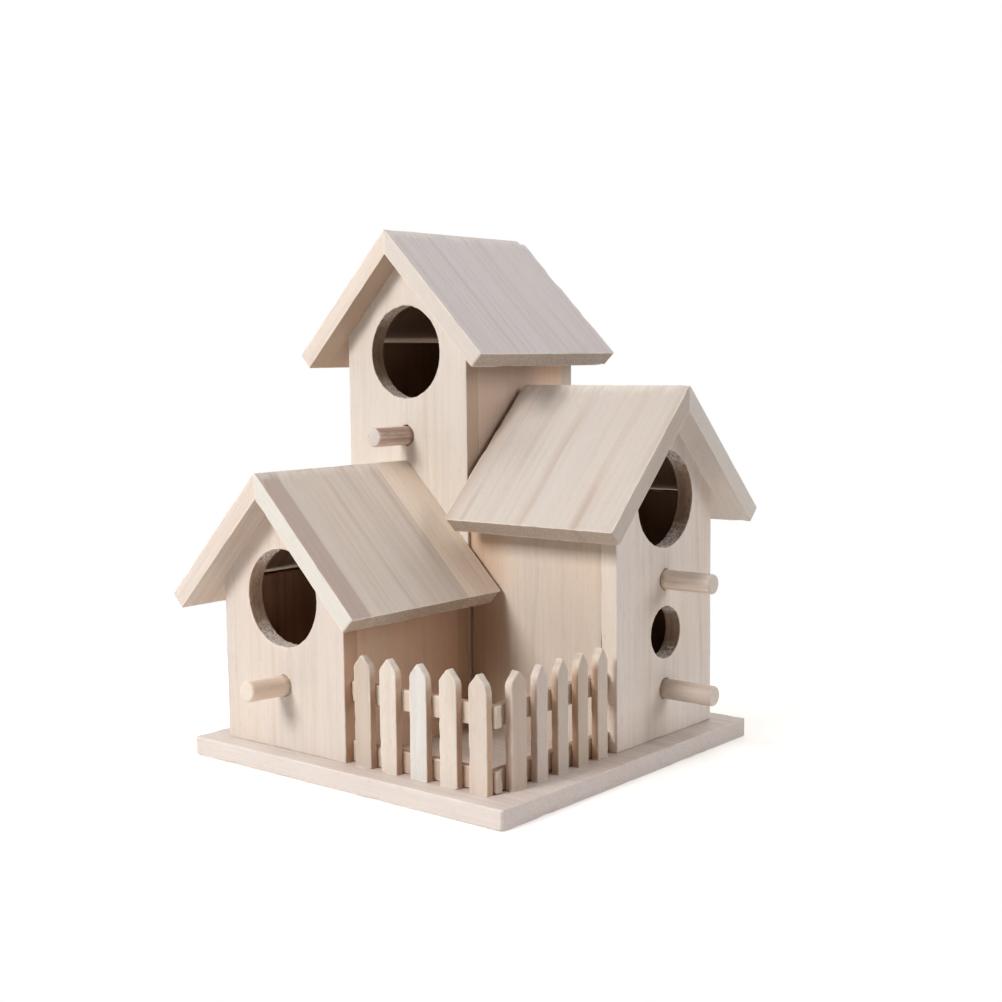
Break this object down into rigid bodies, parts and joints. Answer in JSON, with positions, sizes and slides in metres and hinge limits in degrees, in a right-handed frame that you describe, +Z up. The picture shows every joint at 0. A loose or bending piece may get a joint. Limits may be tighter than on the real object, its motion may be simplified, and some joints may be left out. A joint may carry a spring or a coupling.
{
  "type": "hanging birdhouse",
  "caption": "Wooden birdhouse village of gabled houses with round entrances and dowel perches, on a square base with a picket-fenced yard.",
  "frame": {"origin": "centre of the underside of the base board", "axes": "+Z up, -Y the way the front and tall houses look, +X the way the side house looks"},
  "size_m": [0.1746, 0.1726, 0.2045],
  "materials": {
    "base_pine": "raw sanded pine, long grain across the board and end grain on two edges",
    "wall_pine": "raw sanded pine, grain upright",
    "roof_pine": "raw sanded pine, grain down the slope",
    "fence_pine": "raw sanded pine strips",
    "perch_dowel": "raw birch dowel, smooth"
  },
  "bodies": {
    "root": {"base_board": "base_pine", "front_house_front_wall": "wall_pine", "front_house_back_wall": "wall_pine", "front_house_left_wall": "wall_pine", "front_house_right_wall": "wall_pine", "front_house_left_roof": "roof_pine", "front_house_right_roof": "roof_pine", "front_house_perch": "perch_dowel", "tall_house_front_wall": "wall_pine", "tall_house_back_wall": "wall_pine", "tall_house_left_wall": "wall_pine", "tall_house_right_wall": "wall_pine", "tall_house_left_roof": "roof_pine", "tall_house_right_roof": "roof_pine", "tall_house_perch": "perch_dowel", "side_house_front_wall": "wall_pine", "side_house_back_wall": "wall_pine", "side_house_left_wall": "wall_pine", "side_house_right_wall": "wall_pine", "side_house_left_roof": "roof_pine", "side_house_right_roof": "roof_pine", "side_house_upper_perch": "perch_dowel", "side_house_lower_perch": "perch_dowel", "fence_front_picket_1": "fence_pine", "fence_front_picket_2": "fence_pine", "fence_front_picket_3": "fence_pine", "fence_front_picket_4": "fence_pine", "fence_front_picket_5": "fence_pine", "fence_front_lower_rail": "fence_pine", "fence_front_upper_rail": "fence_pine", "fence_side_picket_1": "fence_pine", "fence_side_picket_2": "fence_pine", "fence_side_picket_3": "fence_pine", "fence_side_picket_4": "fence_pine", "fence_side_picket_5": "fence_pine", "fence_side_lower_rail": "fence_pine", "fence_side_upper_rail": "fence_pine"}
  },
  "joints": []
}
